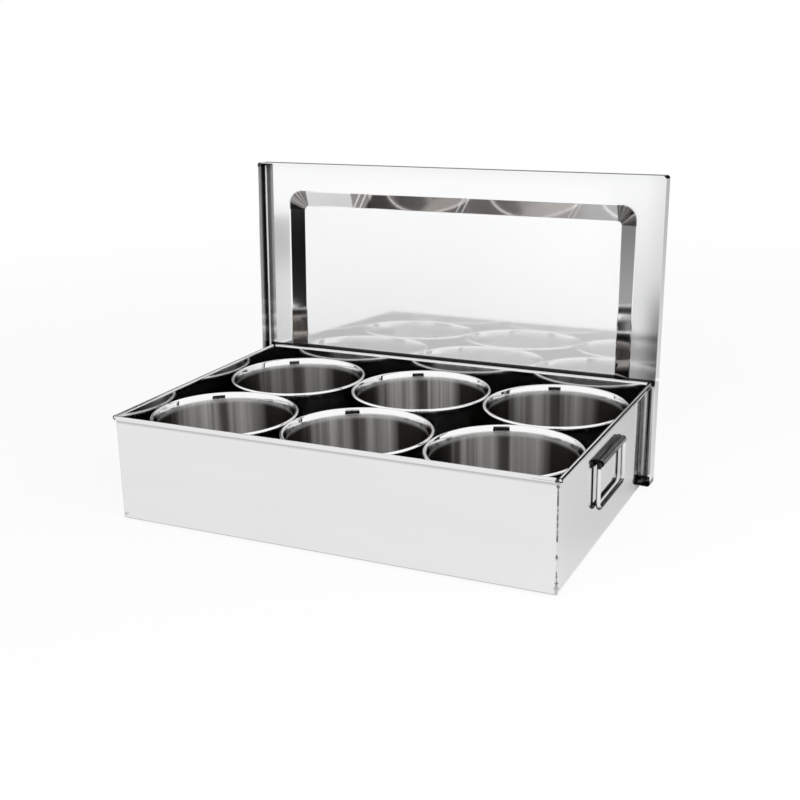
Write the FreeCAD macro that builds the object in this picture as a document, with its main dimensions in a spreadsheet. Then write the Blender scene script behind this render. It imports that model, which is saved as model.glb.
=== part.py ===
import FreeCAD, Part
import math
import os
import re

import Sketcher

# Spice box: a steel tray with a wired rim and two drop handles, six pots that stand in it,
# and a lift-off lid that stands behind it with its rear skirt under the tray's edge.
# Origin: middle of the floor's pressed field, on the table. +X to the right, +Y to the back, +Z up.

COLUMNS = ("left", "middle", "right")
ROWS = ("front", "back")

# Driving dimensions in millimetres; lid_lean and pot_flare_angle are in degrees
SIZES = {
    "pot_rim_diameter": 140.0,
    "pot_gap": 0.6,
    "pot_height": 92.5,
    "pot_sheet": 0.6,
    "pot_flare_angle": 21.0,
    "pot_flare_height": 9.0,
    "pot_bend_radius": 18.0,
    "pot_lip_diameter": 3.6,
    "pot_floor_clearance": 0.3,
    "tray_sheet": 0.7,
    "tray_height": 101.0,
    "tray_bend_radius": 1.6,
    "floor_corner_radius": 12.0,
    "bead_diameter": 4.4,
    "bead_seam_gap": 0.25,
    "bead_corner_gap": 0.8,
    "rim_wire_clearance": 0.05,
    "handle_wire_diameter": 4.0,
    "handle_spread": 79.0,
    "handle_drop": 41.3,
    "handle_corner_radius": 7.0,
    "handle_shoulder_radius": 2.6,
    "handle_below_rim": 23.7,
    "hinge_clearance": 0.08,
    "hinge_end_play": 0.4,
    "strap_sheet": 1.3,
    "strap_flange": 4.0,
    "strap_seam_gap": 0.3,
    "lid_sheet": 0.7,
    "lid_end_play": 4.2,
    "lid_side_play": 5.4,
    "lid_skirt": 16.0,
    "lid_corner_radius": 3.0,
    "lid_fold_radius": 1.4,
    "lid_border": 30.0,
    "lid_bevel": 16.0,
    "lid_panel_rise": 6.0,
    "lid_panel_foot_radius": 14.0,
    "lid_panel_top_radius": 4.5,
    "lid_press_radius": 3.8,
    "lid_lean": 2.5,
    "lid_gap": 0.3,
    "skirt_clearance": 0.3,
}

# The rim wires' ends are rounded over by this share of the wire's radius
WIRE_END_SHARE = 0.5

# Dimensions that follow from the driving ones
DERIVED = {
    # Pots and the walls round them
    "pot_pitch": "pot_rim_diameter + pot_gap",
    "pot_lip_radius": "pot_lip_diameter / 2",
    "pot_lip_x": "pot_rim_diameter / 2 - pot_lip_radius",
    "pot_lip_z": "pot_height - pot_lip_radius",
    "pot_flare_foot": "pot_height - pot_flare_height",
    # The flare's inner face is a long bend above the wall that ends in a short cone to the rolled lip
    "pot_inner_bend": "pot_bend_radius + pot_sheet",
    "pot_cone_rise": "pot_lip_z - pot_flare_foot + (pot_lip_radius - pot_inner_bend) * sin(pot_flare_angle)",
    "pot_cone_run": "pot_cone_rise * tan(pot_flare_angle)",
    "pot_bend_run": "pot_inner_bend * (1 - cos(pot_flare_angle))",
    "pot_bore": "pot_lip_x - pot_lip_radius * cos(pot_flare_angle) - pot_cone_run - pot_bend_run",
    "pot_wall_radius": "pot_bore + pot_sheet",
    "inner_x": f"({len(COLUMNS)} * pot_pitch + pot_gap) / 2",
    "inner_y": f"({len(ROWS)} * pot_pitch + pot_gap) / 2",
    "outer_x": "inner_x + tray_sheet",
    "outer_y": "inner_y + tray_sheet",
    # The floor's field is pressed down just far enough for the lid's skirt to pass under the margin
    "floor_drop": "lid_skirt * sin(lid_lean) + lid_sheet * cos(lid_lean) + skirt_clearance",
    "rim_top": "floor_drop + tray_height",
    "bead_radius": "bead_diameter / 2",
    "bead_bore": "bead_radius - tray_sheet",
    "bead_z": "rim_top - bead_radius",
    "front_bead_length": "2 * (inner_x - bead_corner_gap)",
    "end_bead_length": "2 * outer_y",
    "rim_wire_radius": "bead_bore - rim_wire_clearance",
    # The lid's heel stands as close to the rear wall, or to its bead, as the gap allows
    "rear_reach": "max(outer_y; inner_y + bead_diameter - bead_z * tan(lid_lean))",
    "heel_y": "rear_reach + lid_gap + lid_sheet / cos(lid_lean)",
    "field_y": "heel_y - lid_skirt * cos(lid_lean) - skirt_clearance",
    "field_x": "outer_x - outer_y + field_y",
    # The pots' bottom corners are round enough to clear the step up to the margin
    "pot_over_margin": "max(pot_wall_radius - field_y + inner_y - (pot_pitch + pot_gap) / 2; 0)",
    "pot_step": "floor_drop + pot_floor_clearance",
    "pot_base_radius": "pot_over_margin + pot_step + sqrt(2 * pot_over_margin * pot_step)",
    # Handles
    "strap_bore": "handle_wire_diameter / 2 + hinge_clearance",
    "strap_radius": "strap_bore + strap_sheet",
    "strap_length": "handle_spread - 2 * (handle_shoulder_radius + hinge_end_play)",
    "pivot_x": "outer_x + strap_radius",
    "pivot_z": "rim_top - handle_below_rim",
    # The lid goes over the bead with play all round
    "lid_x": "inner_x + bead_diameter + lid_end_play + lid_sheet",
    "lid_y": "inner_y + bead_diameter + lid_side_play + lid_sheet",
    "panel_foot_x": "lid_x - lid_border",
    "panel_foot_y": "lid_y - lid_border",
    "heel_rise": "lid_fold_radius * (cos(lid_lean) + sin(lid_lean) - 1)",
}

doc = FreeCAD.newDocument("spice_box")
sheet = doc.addObject("Spreadsheet::Sheet", "sizes")
derived = doc.addObject("App::VarSet", "derived")
subparts = []


def formula(text):
    """The expression for a formula in the names of dimensions."""
    text = re.sub(rf"\b({'|'.join(SIZES)})\b", r"sizes.\1", text)
    return re.sub(rf"\b({'|'.join(DERIVED)})\b", r"derived.\1", text)


def value(text):
    """What a formula comes to now."""
    return float(sheet.evalExpression(formula(text)))


def fill_sizes():
    for row, (name, size) in enumerate(SIZES.items(), start=1):
        sheet.set(f"A{row}", str(size))
        sheet.setAlias(f"A{row}", name)
    doc.recompute()
    for name, text in DERIVED.items():
        derived.addProperty("App::PropertyFloat", name)
        derived.setExpression(name, formula(text))
        doc.recompute()


def new_body(label):
    body = doc.addObject("PartDesign::Body", label)
    body.Label = label
    subparts.append(body)
    return body


def place(body, x="0", y="0", z="0", turn=None):
    """Stand the body at a place, turned first if a rotation is given."""
    if turn:
        body.Placement = FreeCAD.Placement(FreeCAD.Vector(), turn)
    for axis, text in zip("xyz", (x, y, z)):
        body.setExpression(f"Placement.Base.{axis}", formula(text))


def origin_plane(body, role):
    return next(item for item in body.Origin.OriginFeatures if item.Role == role)


def new_sketch(body, role, lift="0"):
    """A sketch on one of the body's own planes, lifted along the plane's normal."""
    sketch = body.newObject("Sketcher::SketchObject", "outline")
    sketch.AttachmentSupport = [(origin_plane(body, role), "")]
    sketch.MapMode = "FlatFace"
    sketch.setExpression("AttachmentOffset.Base.z", formula(lift))
    return sketch


def arc_between(start, end, turn, radius):
    """The short arc from start to end that turns left (1) or right (-1)."""
    chord = end - start
    middle = (start + end) / 2
    left = FreeCAD.Vector(-chord.y, chord.x, 0).normalize()
    depth = radius - math.sqrt(radius ** 2 - (chord.Length / 2) ** 2)
    return Part.Arc(start, middle - left * (turn * depth), end)


def tie(sketch, kind, spot, text):
    """Bind one coordinate of a spot, or the radius of an edge, to a formula."""
    amount = value(text)
    if kind != "Radius" and abs(amount) < Part.Precision.confusion():
        axis = {"DistanceX": -2, "DistanceY": -1}[kind]
        sketch.addConstraint(Sketcher.Constraint("PointOnObject", *spot, axis))
        return
    index = sketch.addConstraint(Sketcher.Constraint(kind, *spot, amount))
    sketch.setExpression(f"Constraints[{index}]", formula(text))


def draw(sketch, corners):
    """Draw a closed outline whose corners are tied to formulas.

    A corner is (x, y), with a straight edge to the next corner, or (x, y, turn, radius), with an arc
    to it that turns left (1) or right (-1).
    """
    points = [FreeCAD.Vector(value(corner[0]), value(corner[1]), 0) for corner in corners]
    starts = []
    ends = []
    for index, corner in enumerate(corners):
        start = points[index]
        end = points[(index + 1) % len(points)]
        left_turn = len(corner) == 2 or corner[2] > 0
        starts.append((index, 1 if left_turn else 2))
        ends.append((index, 2 if left_turn else 1))
        if len(corner) == 2:
            sketch.addGeometry(Part.LineSegment(start, end))
        else:
            sketch.addGeometry(arc_between(start, end, corner[2], value(corner[3])))
    for index, corner in enumerate(corners):
        sketch.addConstraint(Sketcher.Constraint("Coincident", *ends[index - 1], *starts[index]))
        tie(sketch, "DistanceX", starts[index], corner[0])
        tie(sketch, "DistanceY", starts[index], corner[1])
        if len(corner) == 4:
            tie(sketch, "Radius", (index,), corner[3])
    return sketch


def circle(sketch, radius):
    """Draw a circle about the sketch's origin."""
    sketch.addGeometry(Part.Circle(FreeCAD.Vector(), FreeCAD.Vector(0, 0, 1), value(radius)))
    sketch.addConstraint(Sketcher.Constraint("Coincident", 0, 3, -1, 1))
    tie(sketch, "Radius", (0,), radius)
    return sketch


def rectangle(half_x, half_y):
    return [(f"-({half_x})", f"-({half_y})"), (half_x, f"-({half_y})"),
            (half_x, half_y), (f"-({half_x})", half_y)]


def rounded_rectangle(half_x, half_y, radius):
    x, y = f"({half_x})", f"({half_y})"
    flat_x, flat_y = f"({half_x} - ({radius}))", f"({half_y} - ({radius}))"
    return [(f"-{flat_x}", f"-{y}"), (flat_x, f"-{y}", 1, radius),
            (x, f"-{flat_y}"), (x, flat_y, 1, radius),
            (flat_x, y), (f"-{flat_x}", y, 1, radius),
            (f"-{x}", flat_y), (f"-{x}", f"-{flat_y}", 1, radius)]


def curl(centre, outer, bore, gap, side, over, tail=None):
    """The section of a sheet edge that is rolled into a bead.

    The sheet stands at the given side (1 or -1) of the centre and rolls over it (1) or under it (-1),
    until the gap is left to the sheet. A tail is the straight sheet before the roll.
    """
    stop = f"(({bore}) - {gap})"
    outer_stop = f"-sqrt(({outer}) ^ 2 - {stop} ^ 2)"
    bore_stop = f"-sqrt(({bore}) ^ 2 - {stop} ^ 2)"
    path = [(outer, "0", 1, outer), ("0", outer, 1, outer), (f"-({outer})", "0", 1, outer),
            ("0", f"-({outer})", 1, outer), (stop, outer_stop),
            (stop, bore_stop, -1, bore), ("0", f"-({bore})", -1, bore), (f"-({bore})", "0", -1, bore),
            ("0", bore, -1, bore), (bore, "0")]
    if tail:
        path += [(bore, f"-({tail})"), (outer, f"-({tail})")]
    corners = []
    for x, y, *arc in path:
        arc = [arc[0] * side * over, arc[1]] if arc else []
        corners.append((f"{centre[0]} + {side} * ({x})", f"{centre[1]} + {over} * ({y})", *arc))
    return corners


def pad(body, sketch, length, side="One side"):
    feature = body.newObject("PartDesign::Pad", "pad")
    feature.Profile = sketch
    feature.SideType = side
    feature.setExpression("Length", formula(length))
    return feature


def pocket(body, sketch, depth, upwards):
    feature = body.newObject("PartDesign::Pocket", "pocket")
    feature.Profile = sketch
    feature.Reversed = upwards
    feature.setExpression("Length", formula(depth))
    return feature


def loft(body, kind, foot, top):
    feature = body.newObject(f"PartDesign::{kind}", "loft")
    feature.Profile = foot
    feature.Sections = [top]
    feature.Ruled = True
    return feature


def mirror(body, feature, role):
    copy = body.newObject("PartDesign::Mirrored", "mirrored")
    copy.Originals = [feature]
    copy.MirrorPlane = (origin_plane(body, role), [""])
    body.Tip = copy
    return copy


def round_level_edges(body, level, radius, half_x, half_y):
    """Round the edges of the body so far that lie at one height, within a rectangle about its middle."""
    doc.recompute()
    base = body.Tip
    height = value(level)
    within = FreeCAD.BoundBox(-value(half_x), -value(half_y), height, value(half_x), value(half_y), height)
    within.enlarge(Part.Precision.approximation())
    names = [f"Edge{index}" for index, edge in enumerate(base.Shape.Edges, start=1)
             if within.isInside(edge.BoundBox)]
    feature = body.newObject("PartDesign::Fillet", "fold")
    feature.Base = (base, names)
    feature.setExpression("Radius", formula(radius))
    doc.recompute()
    return feature


def press_panel(body, sheet_size, level, foot, top, drop):
    """Press a panel with sloping sides out of a flat sheet whose face is at one level."""
    kinds = ("AdditiveLoft", "SubtractiveLoft")
    for kind, lift in zip(kinds, (level, f"{level} + ({sheet_size})")):
        low = draw(new_sketch(body, "XY_Plane", lift), rounded_rectangle(*foot))
        high = draw(new_sketch(body, "XY_Plane", f"{lift} + ({drop})"), rounded_rectangle(*top))
        loft(body, kind, low, high)


def make_tray():
    """One sheet folded up on four sides, welded at the corners, with its top edges rolled outwards."""
    body = new_body("tray")
    block = draw(new_sketch(body, "XY_Plane", "floor_drop"), rectangle("outer_x", "outer_y"))
    pad(body, block, "bead_z - floor_drop")
    round_level_edges(body, "floor_drop", "tray_bend_radius", "outer_x", "outer_y")
    hollow = draw(new_sketch(body, "XY_Plane", "bead_z"), rectangle("inner_x", "inner_y"))
    pocket(body, hollow, "bead_z - floor_drop - tray_sheet", upwards=False)
    round_level_edges(body, "floor_drop + tray_sheet", "tray_bend_radius - tray_sheet", "inner_x", "inner_y")
    press_panel(body, "tray_sheet", "floor_drop",
                ("field_x", "field_y", "floor_corner_radius"),
                ("field_x - floor_drop", "field_y - floor_drop", "floor_corner_radius - floor_drop"),
                "-floor_drop")
    bead = ("bead_radius", "bead_bore", "bead_seam_gap")
    front = draw(new_sketch(body, "YZ_Plane"), curl(("-inner_y - bead_radius", "bead_z"), *bead, 1, 1))
    mirror(body, pad(body, front, "front_bead_length", "Symmetric"), "XZ_Plane")
    end = draw(new_sketch(body, "XZ_Plane"), curl(("inner_x + bead_radius", "bead_z"), *bead, -1, 1))
    mirror(body, pad(body, end, "end_bead_length", "Symmetric"), "YZ_Plane")


def make_rim_wire(name, role, length, x="0", y="0"):
    """A straight wire that a rim bead is rolled round, with its ends rounded over."""
    body = new_body(f"rim_wire_{name}")
    rod = pad(body, circle(new_sketch(body, role), "rim_wire_radius"), length, "Symmetric")
    doc.recompute()
    ends = body.newObject("PartDesign::Fillet", "ends")
    ends.Base = (rod, [f"Edge{index}" for index, edge in enumerate(rod.Shape.Edges, start=1) if edge.Closed])
    ends.setExpression("Radius", formula(f"rim_wire_radius * {WIRE_END_SHARE}"))
    place(body, x, y, "bead_z")


def make_handle(name, side):
    """A strap curled round the top bar of a wire loop that hangs against an end wall."""
    turn = FreeCAD.Rotation(FreeCAD.Vector(0, 0, 1), 0 if side > 0 else 180)
    strap = new_body(f"handle_strap_{name}")
    section = curl(("0", "0"), "strap_radius", "strap_bore", "strap_seam_gap", -1, -1, "strap_flange")
    pad(strap, draw(new_sketch(strap, "XZ_Plane"), section), "strap_length", "Symmetric")

    bail = new_body(f"handle_bail_{name}")
    leg, drop = "handle_spread / 2", "handle_drop"
    shoulder, corner = "handle_shoulder_radius", "handle_corner_radius"
    route = draw(new_sketch(bail, "YZ_Plane"), [
        ("0", "0"), (f"{leg} - {shoulder}", "0", -1, shoulder),
        (leg, f"-{shoulder}"), (leg, f"{corner} - {drop}", -1, corner),
        (f"{leg} - {corner}", f"-{drop}"), (f"{corner} - {leg}", f"-{drop}", -1, corner),
        (f"-{leg}", f"{corner} - {drop}"), (f"-{leg}", f"-{shoulder}", -1, shoulder),
        (f"{shoulder} - {leg}", "0"),
    ])
    wire = circle(new_sketch(bail, "XZ_Plane"), "handle_wire_diameter / 2")
    loop = bail.newObject("PartDesign::AdditivePipe", "loop")
    loop.Profile = wire
    loop.Spine = route
    for body in (strap, bail):
        place(body, f"{side} * pivot_x", "0", "pivot_z", turn)


def make_pot(column, row):
    """A drawn cup with a rounded bottom corner, a flared top and an edge that is rolled outwards."""
    body = new_body(f"pot_{ROWS[row]}_{COLUMNS[column]}")
    wall, base, skin = "pot_wall_radius", "pot_base_radius", "pot_sheet"
    lip_x, lip_z, roll = "pot_lip_x", "pot_lip_z", "pot_lip_radius"
    bore = f"({roll} - {skin})"
    bend, inner_bend, foot = "pot_bend_radius", "pot_inner_bend", "pot_flare_foot"
    along, across = "sin(pot_flare_angle)", "cos(pot_flare_angle)"
    profile = draw(new_sketch(body, "XZ_Plane"), [
        ("0", "0"), (f"{wall} - {base}", "0", 1, base),
        (wall, base), (wall, foot, -1, bend),
        (f"{wall} + {bend} * (1 - {across})", f"{foot} + {bend} * {along}"),
        (f"{lip_x} - {bore} * {across}", f"{lip_z} + {bore} * {along}", -1, bore),
        (lip_x, f"{lip_z} + {bore}", -1, bore), (f"{lip_x} + {bore}", lip_z, -1, bore),
        (lip_x, f"{lip_z} - {bore}"), (lip_x, f"{lip_z} - {roll}", 1, roll),
        (f"{lip_x} + {roll}", lip_z, 1, roll), (lip_x, f"{lip_z} + {roll}", 1, roll),
        (f"{lip_x} - {roll} * {across}", f"{lip_z} + {roll} * {along}"),
        (f"pot_bore + {inner_bend} * (1 - {across})", f"{foot} + {inner_bend} * {along}", 1, inner_bend),
        ("pot_bore", foot), ("pot_bore", base, -1, f"{base} - {skin}"),
        (f"{wall} - {base}", skin), ("0", skin),
    ])
    cup = body.newObject("PartDesign::Revolution", "cup")
    cup.Profile = profile
    cup.ReferenceAxis = (profile, ["V_Axis"])
    place(body, f"{column - (len(COLUMNS) - 1) / 2} * pot_pitch",
          f"{row - (len(ROWS) - 1) / 2} * pot_pitch", "tray_sheet")


def make_lid():
    """A pressed cover with a folded skirt and a raised panel, stood on its rear skirt and leaning back."""
    body = new_body("lid")
    block = draw(new_sketch(body, "XY_Plane", "-lid_skirt"),
                 rounded_rectangle("lid_x", "lid_y", "lid_corner_radius"))
    pad(body, block, "lid_skirt")
    round_level_edges(body, "0", "lid_fold_radius", "lid_x", "lid_y")
    hollow = draw(new_sketch(body, "XY_Plane", "-lid_skirt"),
                  rounded_rectangle("lid_x - lid_sheet", "lid_y - lid_sheet",
                                    "lid_corner_radius - lid_sheet"))
    pocket(body, hollow, "lid_skirt - lid_sheet", upwards=True)
    round_level_edges(body, "-lid_sheet", "lid_fold_radius - lid_sheet", "lid_x", "lid_y")
    press_panel(body, "-lid_sheet", "0",
                ("panel_foot_x", "panel_foot_y", "lid_panel_foot_radius"),
                ("panel_foot_x - lid_bevel", "panel_foot_y - lid_bevel", "lid_panel_top_radius"),
                "lid_panel_rise")
    for level, radius in (("-lid_sheet", "lid_press_radius + lid_sheet"), ("0", "lid_press_radius"),
                          ("lid_panel_rise", "lid_press_radius + lid_sheet"),
                          ("lid_panel_rise - lid_sheet", "lid_press_radius")):
        round_level_edges(body, level, radius, "panel_foot_x", "panel_foot_y")
    place(body, "0", "heel_y + lid_y * sin(lid_lean)", "lid_y * cos(lid_lean) - heel_rise",
          FreeCAD.Rotation(FreeCAD.Vector(1, 0, 0), 0))
    body.setExpression("Placement.Rotation.Angle", formula("-90 - lid_lean"))


def check_and_write():
    doc.recompute()
    for item in doc.Objects:
        if {"Invalid", "Error"} & set(item.State):
            raise RuntimeError(f"{item.Label} failed: {item.State}")
    for body in subparts:
        if body.Shape.isNull() or not body.Shape.isValid() or len(body.Shape.Solids) != 1:
            raise RuntimeError(f"{body.Label} has no sound solid")
    os.makedirs("parts", exist_ok=True)
    for body in subparts:
        body.Shape.exportStep(f"parts/{body.Label}.step")


fill_sizes()
make_tray()
make_rim_wire("front", "YZ_Plane", "front_bead_length", y="-inner_y - bead_radius")
make_rim_wire("back", "YZ_Plane", "front_bead_length", y="inner_y + bead_radius")
make_rim_wire("left", "XZ_Plane", "end_bead_length", x="-inner_x - bead_radius")
make_rim_wire("right", "XZ_Plane", "end_bead_length", x="inner_x + bead_radius")
make_handle("left", -1)
make_handle("right", 1)
for pot_row in range(len(ROWS)):
    for pot_column in range(len(COLUMNS)):
        make_pot(pot_column, pot_row)
make_lid()
check_and_write()
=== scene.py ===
import math

import bmesh
import bpy
from mathutils import Matrix, Vector


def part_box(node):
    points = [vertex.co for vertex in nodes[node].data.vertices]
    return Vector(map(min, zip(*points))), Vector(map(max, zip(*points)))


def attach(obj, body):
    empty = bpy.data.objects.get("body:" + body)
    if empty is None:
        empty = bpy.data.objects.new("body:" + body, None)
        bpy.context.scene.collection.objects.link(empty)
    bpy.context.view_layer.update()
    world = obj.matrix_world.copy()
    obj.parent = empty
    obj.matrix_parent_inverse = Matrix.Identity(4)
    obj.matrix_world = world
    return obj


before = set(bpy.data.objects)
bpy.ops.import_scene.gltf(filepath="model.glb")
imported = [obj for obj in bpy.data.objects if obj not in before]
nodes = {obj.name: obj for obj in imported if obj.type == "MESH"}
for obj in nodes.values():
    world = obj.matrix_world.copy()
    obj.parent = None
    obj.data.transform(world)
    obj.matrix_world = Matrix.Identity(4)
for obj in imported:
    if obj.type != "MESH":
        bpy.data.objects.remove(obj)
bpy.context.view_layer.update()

scene = bpy.context.scene

# Camera: the photograph's viewpoint, in metres and degrees
IMAGE_SIDE = 800
FOCAL_PIXELS = 1220.0
SENSOR = 36.0
CAMERA_AT = (0.48154, -0.99469, 0.43825)
CAMERA_YAW, CAMERA_PITCH, CAMERA_ROLL = 25.374, 16.957, -1.05
CLIP_NEAR, CLIP_FAR = 0.01, 100


def make_camera():
    yaw, pitch, roll = (math.radians(a) for a in (CAMERA_YAW, CAMERA_PITCH, CAMERA_ROLL))
    ahead = Vector((-math.sin(yaw) * math.cos(pitch), math.cos(yaw) * math.cos(pitch), -math.sin(pitch)))
    level = Vector((math.cos(yaw), math.sin(yaw), 0))
    over = level.cross(ahead)
    right = math.cos(roll) * level + math.sin(roll) * over
    up = math.cos(roll) * over - math.sin(roll) * level
    data = bpy.data.cameras.new("camera")
    data.sensor_width = SENSOR
    data.lens = FOCAL_PIXELS / IMAGE_SIDE * SENSOR
    data.clip_start = CLIP_NEAR
    data.clip_end = CLIP_FAR
    camera = bpy.data.objects.new("camera", data)
    turn = Matrix((right, up, -ahead)).transposed().to_4x4()
    camera.matrix_world = Matrix.Translation(CAMERA_AT) @ turn
    scene.collection.objects.link(camera)
    scene.camera = camera


# Node helpers
NUMBER_RESULTS = ("DOT_PRODUCT", "DISTANCE", "LENGTH")


def grey(level):
    return (level, level, level)


class Graph:
    """The nodes of a material or of the world, with short calls for the ones used here.

    A source is a socket or a plain value.
    """

    def __init__(self, tree):
        self.tree = tree
        tree.nodes.clear()

    def add(self, kind, **settings):
        node = self.tree.nodes.new("ShaderNode" + kind)
        for name, setting in settings.items():
            setattr(node, name, setting)
        return node

    def feed(self, socket, source):
        if isinstance(source, bpy.types.NodeSocket):
            self.tree.links.new(source, socket)
        else:
            socket.default_value = source

    def fill(self, node, sources):
        for socket, source in zip(node.inputs, sources):
            self.feed(socket, source)

    def math(self, operation, *sources):
        node = self.add("Math", operation=operation)
        self.fill(node, sources)
        return node.outputs[0]

    def times(self, first, *others):
        for other in others:
            first = self.math("MULTIPLY", first, other)
        return first

    def most(self, first, *others):
        for other in others:
            first = self.math("MAXIMUM", first, other)
        return first

    def remainder(self, share):
        """What a share leaves of 1."""
        return self.math("SUBTRACT", 1.0, share)

    def size(self, source):
        """A number without its sign."""
        return self.math("ABSOLUTE", source)

    def diagonal(self, first, second):
        """The distance that two lengths at right angles make."""
        squares = self.math("ADD", self.times(first, first), self.times(second, second))
        return self.math("SQRT", squares)

    def vector(self, operation, *sources):
        node = self.add("VectorMath", operation=operation)
        self.fill(node, sources)
        return node.outputs["Value" if operation in NUMBER_RESULTS else "Vector"]

    def parts(self, source):
        """A vector's X, Y and Z."""
        node = self.add("SeparateXYZ")
        self.feed(node.inputs[0], source)
        return node.outputs

    def ramp(self, source, low, high, to_low=0.0, to_high=1.0, smooth=True):
        node = self.add("MapRange", interpolation_type="SMOOTHSTEP" if smooth else "LINEAR")
        self.fill(node, (source, low, high, to_low, to_high))
        return node.outputs[0]

    def band(self, source, edges):
        """1 between the two inner edges, and 0 outside the two outer ones."""
        low, full, past, high = edges
        return self.times(self.ramp(source, low, full), self.ramp(source, high, past))

    def noise(self, place, scale, detail, rough):
        """Noise at one scale, or at a scale of its own for each axis."""
        if isinstance(scale, tuple):
            place = self.vector("MULTIPLY", place, scale)
            scale = 1.0
        node = self.add("TexNoise")
        self.feed(node.inputs["Vector"], place)
        node.inputs["Scale"].default_value = scale
        node.inputs["Detail"].default_value = detail
        node.inputs["Roughness"].default_value = rough
        return node.outputs[0]

    def mix(self, factor, low, high):
        """Mix two colours, each a socket or a plain colour."""
        node = self.add("Mix", data_type="RGBA")
        self.feed(node.inputs["Factor"], factor)
        for socket, colour in zip((s for s in node.inputs if s.type == "RGBA"), (low, high)):
            self.feed(socket, (*colour, 1) if isinstance(colour, tuple) else colour)
        return next(s for s in node.outputs if s.type == "RGBA")

    def blend(self, factor, low, high):
        """Mix two numbers."""
        node = self.add("Mix", data_type="FLOAT")
        self.feed(node.inputs[0], factor)
        self.feed(node.inputs[2], low)
        self.feed(node.inputs[3], high)
        return node.outputs[0]


def new_material(name):
    material = bpy.data.materials.new(name)
    material.use_nodes = True
    graph = Graph(material.node_tree)
    graph.shader = graph.add("BsdfPrincipled")
    graph.out = graph.add("OutputMaterial")
    graph.feed(graph.out.inputs["Surface"], graph.shader.outputs[0])
    return material, graph, graph.shader.inputs


def place_and_normal(graph):
    coordinates = graph.add("TexCoord")
    return coordinates.outputs["Object"], coordinates.outputs["Normal"]


def dress(names, material):
    for name in names:
        data = nodes[name].data
        data.materials.clear()
        data.materials.append(material)


# Stage: the floor, the lamps, and the light and dark cards that the polished metal reflects.
# Noises, here and below, are given as scale, detail and roughness.
FLOOR_HALF = 6.0
FLOOR_GRAIN = (900.0, 3.0, 0.5)
FLOOR_COLOURS = (grey(0.91), grey(0.94))
FLOOR_NEAR, FLOOR_FAR = 0.35, 2.0
FLOOR_GLOW_NEAR = 0.88
PAPER_ROUGH = 0.9
WORLD_COLOUR = (1, 1, 1, 1)
WORLD_SEEN = 1.0
WORLD_LIGHT = 0.5


def seen_rays(graph):
    """1 for the rays that show the background: camera, glossy and transmission."""
    path = graph.add("LightPath").outputs
    return graph.most(path["Is Camera Ray"], path["Is Glossy Ray"], path["Is Transmission Ray"])


def make_world():
    world = bpy.data.worlds.new("studio")
    scene.world = world
    world.use_nodes = True
    graph = Graph(world.node_tree)
    background = graph.add("Background")
    background.inputs["Color"].default_value = WORLD_COLOUR
    graph.feed(background.inputs["Strength"], graph.blend(seen_rays(graph), WORLD_LIGHT, WORLD_SEEN))
    out = graph.add("OutputWorld")
    graph.feed(out.inputs["Surface"], background.outputs[0])


def sheet_object(name, corners):
    """An object with one flat face."""
    data = bpy.data.meshes.new(name)
    data.from_pydata(corners, [], [range(len(corners))])
    made = bpy.data.objects.new(name, data)
    scene.collection.objects.link(made)
    return made


def make_matt(shader):
    shader["Roughness"].default_value = PAPER_ROUGH
    shader["Specular IOR Level"].default_value = 0.0


def make_floor():
    """White paper that keeps the shadow near the object and fades into the white background."""
    h = FLOOR_HALF
    floor = sheet_object("floor", [(-h, -h, 0), (h, -h, 0), (h, h, 0), (-h, h, 0)])
    material, graph, shader = new_material("floor_paper")
    place, _ = place_and_normal(graph)
    graph.feed(shader["Base Color"], graph.mix(graph.noise(place, *FLOOR_GRAIN), *FLOOR_COLOURS))
    make_matt(shader)
    distance = graph.vector("LENGTH", place)
    glow = graph.ramp(distance, FLOOR_NEAR, FLOOR_FAR, FLOOR_GLOW_NEAR, 1.0)
    glowing = graph.add("MixShader")
    graph.feed(glowing.inputs[0], graph.times(glow, seen_rays(graph)))
    graph.feed(glowing.inputs[1], graph.shader.outputs[0])
    graph.feed(glowing.inputs[2], graph.add("Emission").outputs[0])
    graph.feed(graph.out.inputs["Surface"], glowing.outputs[0])
    floor.data.materials.append(material)


def make_card(name, corners, shades):
    """A card that only glossy rays see, shaded from its front edge to its back edge."""
    card = sheet_object(name, corners)
    material, graph, shader = new_material(name)
    place, _ = place_and_normal(graph)
    depths = [corner[1] for corner in corners]
    back = graph.ramp(graph.parts(place)["Y"], min(depths), max(depths), smooth=False)
    graph.feed(shader["Base Color"], graph.mix(back, *(grey(shade) for shade in shades)))
    make_matt(shader)
    card.data.materials.append(material)
    card.visible_camera = False
    card.visible_diffuse = False
    card.visible_shadow = False
    card.visible_transmission = False


def make_lamp(name, at, aim, size, power):
    data = bpy.data.lights.new(name, "AREA")
    data.shape = "RECTANGLE"
    data.size, data.size_y = size
    data.energy = power
    lamp = bpy.data.objects.new(name, data)
    lamp.location = at
    lamp.rotation_mode = "QUATERNION"
    lamp.rotation_quaternion = (Vector(aim) - Vector(at)).to_track_quat("-Z", "Y")
    lamp.visible_glossy = False
    scene.collection.objects.link(lamp)


CARD_LIFT = 0.001
LAMP_AIM = (0, 0, 0.05)
# Each lamp: name, place, size and power
LAMPS = (
    ("softbox_right", (1.325, -0.405, 0.85), (1.6, 0.86), 15.0),
    ("softbox_left", (-0.071, -1.355, 0.9), (1.66, 0.86), 9.5),
)
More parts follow.
